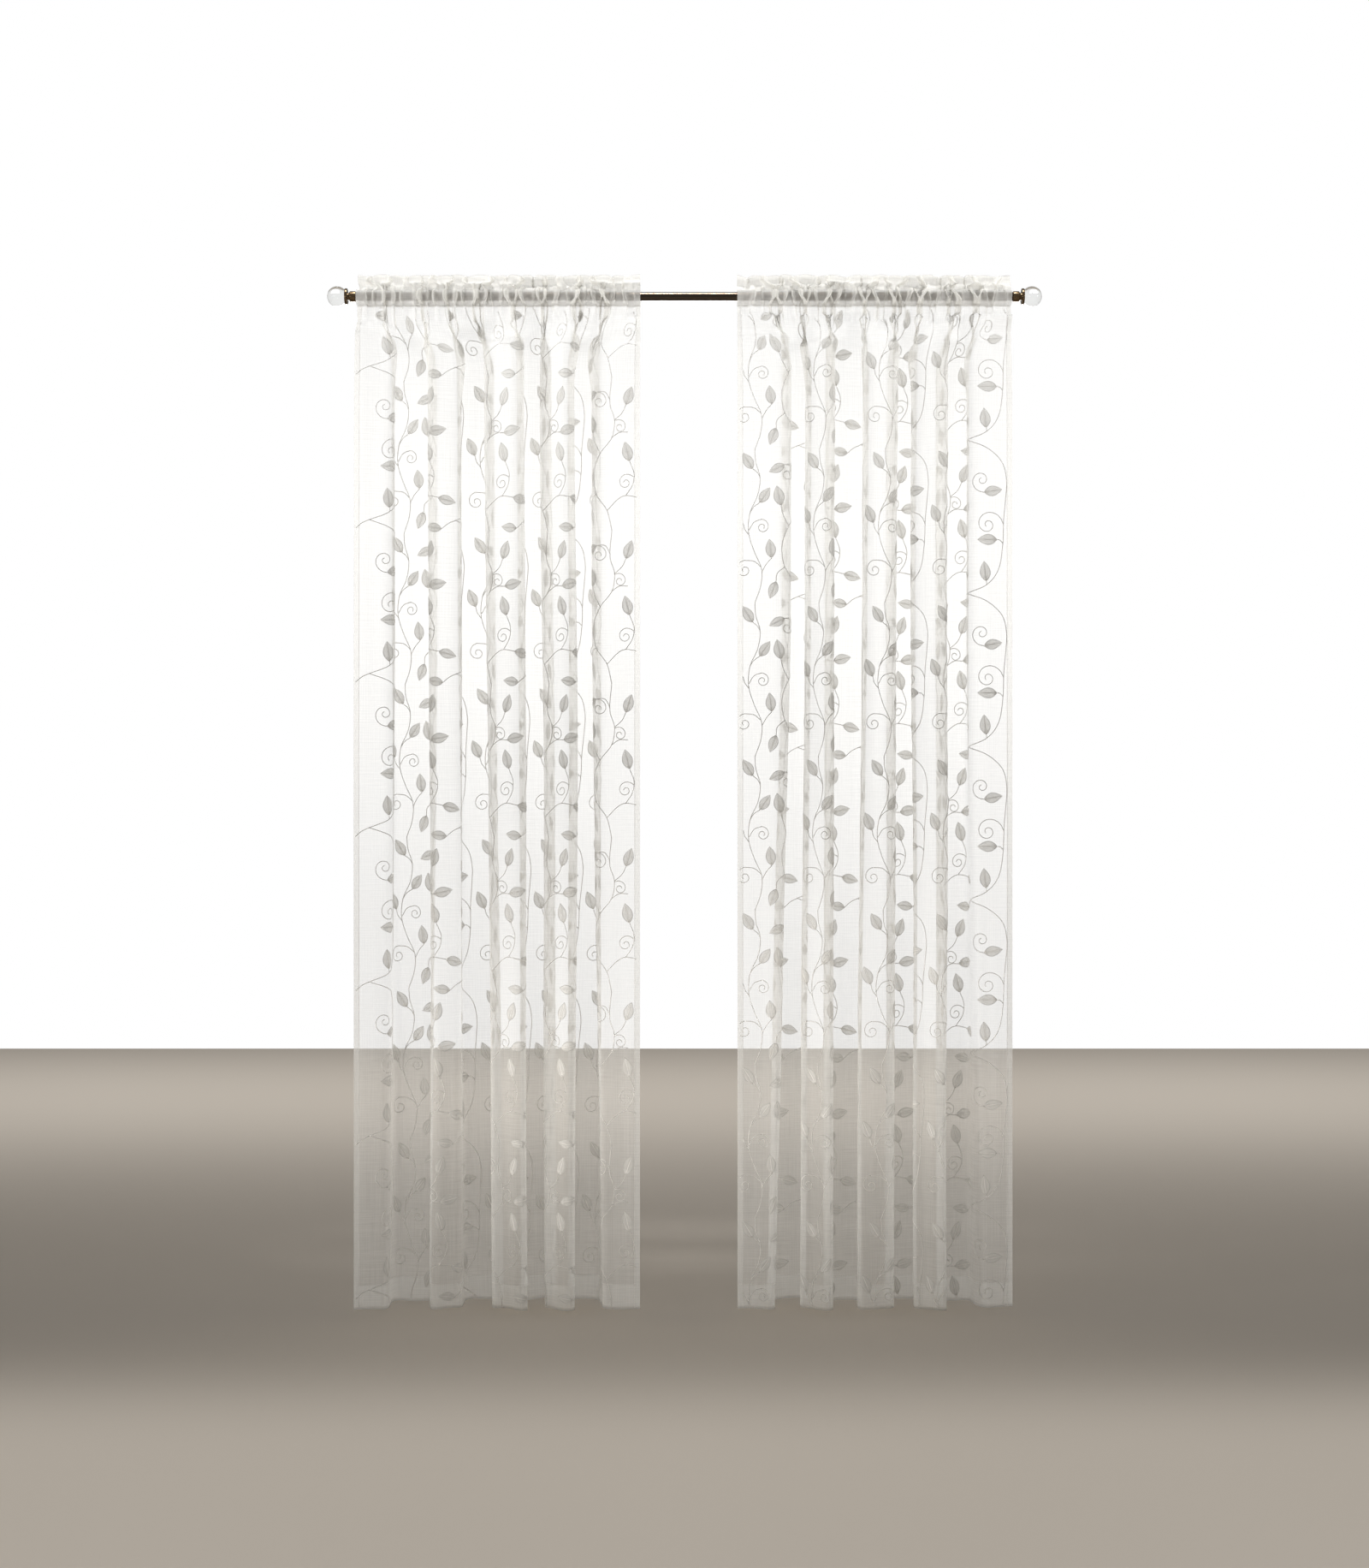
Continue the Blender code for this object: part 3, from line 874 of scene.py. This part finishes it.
def turned(name, outline, start=0.0, side=1.0):
    """A round piece: an outline of (radius, distance from the start) turned about the rod's axis."""
    around = np.arange(ROUND_STEPS)
    angles = around * turns(1.0 / ROUND_STEPS)
    radius, out = np.array(outline).T[:, :, None]
    rings = np.zeros((len(outline), ROUND_STEPS, 3))
    rings[..., 0] = side * (start + out)
    rings[..., 1] = radius * np.cos(angles)
    rings[..., 2] = radius * np.sin(angles)
    near = np.arange(len(outline) - 1)[:, None] * ROUND_STEPS + around
    beside = np.roll(near, -1, axis=1)
    quads = np.stack([near, near + ROUND_STEPS, beside + ROUND_STEPS, beside], axis=-1).reshape(-1, 4)
    thing = mesh_object(name, rings.reshape(-1, 3), quads)
    surface = bmesh.new()
    surface.from_mesh(thing.data)
    bmesh.ops.remove_doubles(surface, verts=surface.verts, dist=MERGE_DISTANCE)
    bmesh.ops.recalc_face_normals(surface, faces=surface.faces)
    surface.to_mesh(thing.data)
    surface.free()
    return thing


def curtain_rod():
    half = ROD_HALF_LENGTH
    outline = [(0.0, -half), (ROD_RADIUS, -half), (ROD_RADIUS, half), (0.0, half)]
    return turned("curtain_rod", rounded(outline, EDGE_ROUNDING))


def finial_collar(side_name, side):
    """A turned collar: a dished flange, a neck, a bead and a sleeve around the rod's end."""
    bore_radius = ROD_RADIUS + FIT_GAP
    bore_end = ROD_HALF_LENGTH - COLLAR_START + FIT_GAP
    seat = BALL_RADIUS + FIT_GAP
    angles = np.linspace(0.0, math.asin(DISH_RIM / seat), DISH_STEPS)
    dish = [(seat * math.sin(angle), BALL_CENTRE - seat * math.cos(angle)) for angle in angles]
    out = COLLAR_LENGTH
    body = [(DISH_RIM, out)]
    for step in (FLANGE, NECK, BEAD, SLEEVE):
        body += [(step.radius, out), (step.radius, out - step.length)]
        out -= step.length
    body += [(bore_radius, 0.0), (bore_radius, bore_end), (0.0, bore_end)]
    outline = dish + rounded(body, EDGE_ROUNDING)
    return turned("finial_collar_" + side_name, outline, COLLAR_START, side)


def glass_ball(side_name, side):
    angles = np.linspace(0.0, math.pi, BALL_RINGS + 1)
    outline = [(BALL_RADIUS * math.sin(angle), -BALL_RADIUS * math.cos(angle)) for angle in angles]
    return turned("glass_finial_" + side_name, outline, COLLAR_START + BALL_CENTRE, side)


# Materials


def set_socket(tree, socket, value):
    """Links a socket to another node's output, or sets it to a value."""
    if isinstance(value, bpy.types.NodeSocket):
        tree.links.new(value, socket)
    else:
        socket.default_value = value


def add_node(tree, kind, **values):
    """A shader node with some of its inputs or properties set by name."""
    node = tree.nodes.new("ShaderNode" + kind)
    for name, value in values.items():
        socket = node.inputs.get(name.replace("_", " "))
        if socket is None:
            setattr(node, name, value)
        else:
            set_socket(tree, socket, value)
    return node


def new_material(name, surface, *settings):
    """A material whose surface is built in its node tree by a function."""
    material = bpy.data.materials.new(name)
    material.use_nodes = True
    tree = material.node_tree
    tree.nodes.clear()
    add_node(tree, "OutputMaterial", Surface=surface(tree, *settings))
    return material


def principled(tree, **values):
    return add_node(tree, "BsdfPrincipled", **values).outputs["BSDF"]


def place_in(tree, space):
    """The place on the piece's surface, in its surface coordinates (UV) or in metres (Object)."""
    return add_node(tree, "TexCoord").outputs[space]


def noise(tree, space, waves, detail, roughness=0.5):
    """Noise with the given number of waves to a metre along each direction."""
    place = add_node(tree, "Mapping", Vector=place_in(tree, space), Scale=waves).outputs["Vector"]
    grain = add_node(tree, "TexNoise", Vector=place, Scale=1.0, Detail=detail, Roughness=roughness)
    return grain.outputs["Fac"]


def spread(tree, value, low, high, out_low, out_high):
    """A number carried from one range to another, and held at its ends."""
    limits = {"From_Min": low, "From_Max": high, "To_Min": out_low, "To_Max": out_high}
    return add_node(tree, "MapRange", Value=value, **limits).outputs["Result"]


def combine(tree, operation, first, second=0.0):
    """A number worked out from one or two others."""
    node = add_node(tree, "Math", operation=operation)
    set_socket(tree, node.inputs[0], first)
    set_socket(tree, node.inputs[1], second)
    return node.outputs["Value"]


def raised(tree, height, relief):
    """The surface's direction with a height raised in it."""
    strength, distance = relief
    return add_node(tree, "Bump", Height=height, Strength=strength, Distance=distance).outputs["Normal"]


def tone_between(tree, share, first, second):
    """A colour that lies a share of the way from the first to the second."""
    tone = add_node(tree, "Mix", data_type="RGBA", Factor=share, A=(*first, 1.0), B=(*second, 1.0))
    return tone.outputs["Result"]


def mixed(tree, share, first, second):
    """Two shaders in one, with a share of the second."""
    mix = add_node(tree, "MixShader", Fac=share)
    tree.links.new(first, mix.inputs[1])
    tree.links.new(second, mix.inputs[2])
    return mix.outputs["Shader"]


def part_clear(tree, cover, shader):
    """A surface that covers a share of the view and leaves the rest clear."""
    return mixed(tree, cover, add_node(tree, "BsdfTransparent").outputs["BSDF"], shader)


def uneven(tree, weave, middle=0.0):
    """The noise of one unevenness of the weave, and how much of the view it covers."""
    grain = noise(tree, "UV", (weave.across, weave.down, 1.0), weave.detail, weave.roughness)
    return grain, spread(tree, grain, *NOISE_RANGE, middle - weave.cover, middle + weave.cover)


def voile_surface(tree):
    """Sheer ivory voile: fine threads with slubs, part see-through, part lit from in front and behind."""
    split = add_node(tree, "SeparateXYZ", Vector=place_in(tree, "Object"))
    seam = (POCKET_BOTTOM - SEAM_SOFTNESS, POCKET_BOTTOM + SEAM_SOFTNESS)
    packed = spread(tree, split.outputs["Z"], *seam, 0.0, PACKED_COVER)
    weft, weft_cover = uneven(tree, WEFT)
    warp, warp_cover = uneven(tree, WARP)
    covered = uneven(tree, CLOUDS, VOILE_COVER)[1]
    for part in (weft_cover, warp_cover, packed):
        covered = combine(tree, "ADD", covered, part)
    front = principled(
        tree,
        Base_Color=VOILE_COLOUR,
        Roughness=0.75,
        Specular_IOR_Level=0.25,
        Sheen_Weight=0.35,
        Sheen_Roughness=0.45,
        Normal=raised(tree, combine(tree, "ADD", weft, warp), WEAVE_RELIEF),
    )
    through = add_node(tree, "BsdfTranslucent", Color=VOILE_THROUGH).outputs["BSDF"]
    return part_clear(tree, covered, mixed(tree, THROUGH_SHARE, front, through))


def satin_surface(tree, stitch):
    """Shiny embroidery thread, with its stitches as fine ridges along the surface's own directions, and
    painted shade that darkens the thread in the hollows between them.
    """
    split = add_node(tree, "SeparateXYZ", Vector=place_in(tree, "UV"))
    ridge_and_painted_shade, dense = stitch(tree, split.outputs["X"], split.outputs["Y"])
    # Painted shade: the thread's colour is darkened where the stitch relief dips into the hollows between
    # stitches.
    hollow_painted_shade = [channel * STITCH_HOLLOW_PAINTED_SHADE for channel in THREAD_COLOUR]
    floss = principled(
        tree,
        Base_Color=tone_between(tree, ridge_and_painted_shade, hollow_painted_shade, THREAD_COLOUR),
        Roughness=0.42,
        Specular_IOR_Level=0.5,
        Sheen_Weight=0.2,
        Normal=raised(tree, ridge_and_painted_shade, STITCH_RELIEF),
    )
    return floss if dense is None else part_clear(tree, dense, floss)


def leaf_stitch(tree, across, along):
    """Slanting satin stitches, sparse but for the rib, the base and the rim."""
    from_rib = combine(tree, "ABSOLUTE", combine(tree, "SUBTRACT", across, 0.5))
    rise = combine(tree, "MULTIPLY", along, LEAF_STITCHES)
    slant = combine(tree, "SUBTRACT", rise, combine(tree, "MULTIPLY", from_rib, LEAF_SLANT))
    wave = combine(tree, "SINE", combine(tree, "MULTIPLY", slant, turns(1.0)))
    sparse = spread(tree, along, *BASE_TO_FILL)
    for stretch in (RIB_TO_FILL, FILL_TO_RIM):
        sparse = combine(tree, "MULTIPLY", sparse, spread(tree, from_rib, *stretch))
    # The first value is each stitch's relief; the satin surface also darkens the thread by it, as painted
    # shade in the hollows.
    return spread(tree, wave, -1.0, 1.0, LEAF_LOW, 1.0), spread(tree, sparse, 0.0, 1.0, *LEAF_COVER)


def stem_stitch(tree, across, along):
    """Short slanting stitches, one after the other along the cord."""
    slant = combine(tree, "ADD", combine(tree, "MULTIPLY", along, STEM_STITCHES), across)
    wave = combine(tree, "SINE", combine(tree, "MULTIPLY", slant, turns(1.0)))
    # The first value is each stitch's relief; the satin surface also darkens the thread by it, as painted
    # shade in the hollows.
    return spread(tree, wave, -1.0, 1.0, STEM_LOW, 1.0), None


def metal_surface(tree, metal):
    """Plated metal: a lengthwise or turned grain in its roughness and a slight mottling of its tone."""
    grain = noise(tree, "Object", metal.grain, 4.0)
    roughness = [metal.roughness + change for change in ROUGHNESS_VARIES]
    return principled(
        tree,
        Base_Color=tone_between(tree, grain, metal.dark, metal.bright),
        Metallic=1.0,
        Roughness=spread(tree, grain, *NOISE_RANGE, *roughness),
        Normal=raised(tree, grain, METAL_RELIEF),
    )


def glass_surface(tree):
    """Clear glass whose surface is very slightly wavy."""
    return principled(
        tree,
        Base_Color=GLASS_COLOUR,
        Roughness=0.03,
        IOR=1.5,
        Transmission_Weight=1.0,
        Normal=raised(tree, noise(tree, "Object", GLASS_WAVES, 1.0), GLASS_RELIEF),
    )


def floor_surface(tree):
    return principled(tree, Base_Color=FLOOR_COLOUR, Roughness=0.9)


# Stage


def add_floor():
    corners = [(x, y, HEM_BOTTOM - FLOOR_GAP) for y in FLOOR_AWAY for x in FLOOR_ACROSS]
    floor = mesh_object("floor", corners, [(0, 1, 3, 2)])
    floor.data.materials.append(new_material("floor", floor_surface))


def add_world():
    """A white surround to look at, which lights the room more softly than it looks."""
    world = bpy.data.worlds.new("surround")
    bpy.context.scene.world = world
    world.use_nodes = True
    tree = world.node_tree
    tree.nodes.clear()
    seen = add_node(tree, "Background", Color=(*WHITE, 1.0), Strength=1.0)
    light = add_node(tree, "Background", Color=SURROUND_COLOUR, Strength=SURROUND_LIGHT)
    rays = add_node(tree, "LightPath")
    through_glass = combine(tree, "MULTIPLY", rays.outputs["Is Transmission Ray"], SEEN_THROUGH_GLASS)
    direct = combine(tree, "MAXIMUM", rays.outputs["Is Camera Ray"], through_glass)
    surround = mixed(tree, direct, light.outputs["Background"], seen.outputs["Background"])
    add_node(tree, "OutputWorld", Surface=surround)


def add_lamp(lamp):
    """A rectangular lamp that the camera doesn't see."""
    light = bpy.data.lights.new(lamp.name, "AREA")
    light.shape = "RECTANGLE"
    light.size, light.size_y = lamp.size
    light.energy = lamp.watts
    light.spread = math.radians(lamp.spread)
    light.color = lamp.colour
    holder = bpy.data.objects.new(lamp.name, light)
    holder.location = lamp.place
    direction = Vector(np.array(lamp.aim) - np.array(lamp.place))
    holder.rotation_euler = direction.to_track_quat("-Z", "Y").to_euler()
    holder.visible_camera = False
    bpy.context.scene.collection.objects.link(holder)


def add_camera():
    """A level camera whose frame is the photograph's at the distance of the curtains."""
    middle = (ROD_ROW - IMAGE_HEIGHT / 2.0) * METRES_PER_PIXEL
    camera = bpy.data.cameras.new("camera")
    camera.lens = SENSOR * CAMERA_DISTANCE / (IMAGE_HEIGHT * METRES_PER_PIXEL)
    camera.sensor_width = SENSOR
    holder = bpy.data.objects.new("camera", camera)
    holder.location = (0.0, -CAMERA_DISTANCE, middle)
    holder.rotation_euler = (math.pi / 2.0, 0.0, 0.0)
    bpy.context.scene.collection.objects.link(holder)
    bpy.context.scene.camera = holder


# Building


def dress(thing, material, replaced=()):
    """Gives a piece its material, puts it on the one body and hides the imported nodes that it stands for.
    """
    thing.data.materials.append(material)
    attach(thing, "root")
    if replaced:
        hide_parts(*replaced)
    return thing


def build_curtains():
    sheer = new_material("voile", voile_surface)
    leaf_thread = new_material("leaf_satin", satin_surface, leaf_stitch)
    stem_thread = new_material("stem_cord", satin_surface, stem_stitch)
    for panel in PANELS:
        cloth = front_of(panel)
        whole = lay_rows(panel, all_rows(), COLUMNS)
        sheet = dress(voile(panel, whole), sheer, (panel.node,))
        hems = dress(side_hems(panel), sheer)
        stitches = dress(seams(cloth), stem_thread)
        stems = dress(vine_stems(cloth), stem_thread)
        leaves = dress(vine_leaves(cloth), leaf_thread)


def build_hardware():
    bronze = new_material("dark_bronze", metal_surface, BRONZE)
    brass = new_material("antique_brass", metal_surface, BRASS)
    glass = new_material("clear_glass", glass_surface)
    dress(curtain_rod(), bronze, ("rod",))
    for side_name, side in (("left", -1.0), ("right", 1.0)):
        dress(finial_collar(side_name, side), brass, ("collar_" + side_name,))
        dress(glass_ball(side_name, side), glass, ("glass_ball_" + side_name,))


def build_stage():
    add_floor()
    add_world()
    for lamp in LAMPS:
        add_lamp(lamp)
    add_camera()
    scene = bpy.context.scene
    scene.view_settings.view_transform = "Standard"
    scene.cycles.transparent_max_bounces = CLEAR_BOUNCES


build_curtains()
build_hardware()
build_stage()
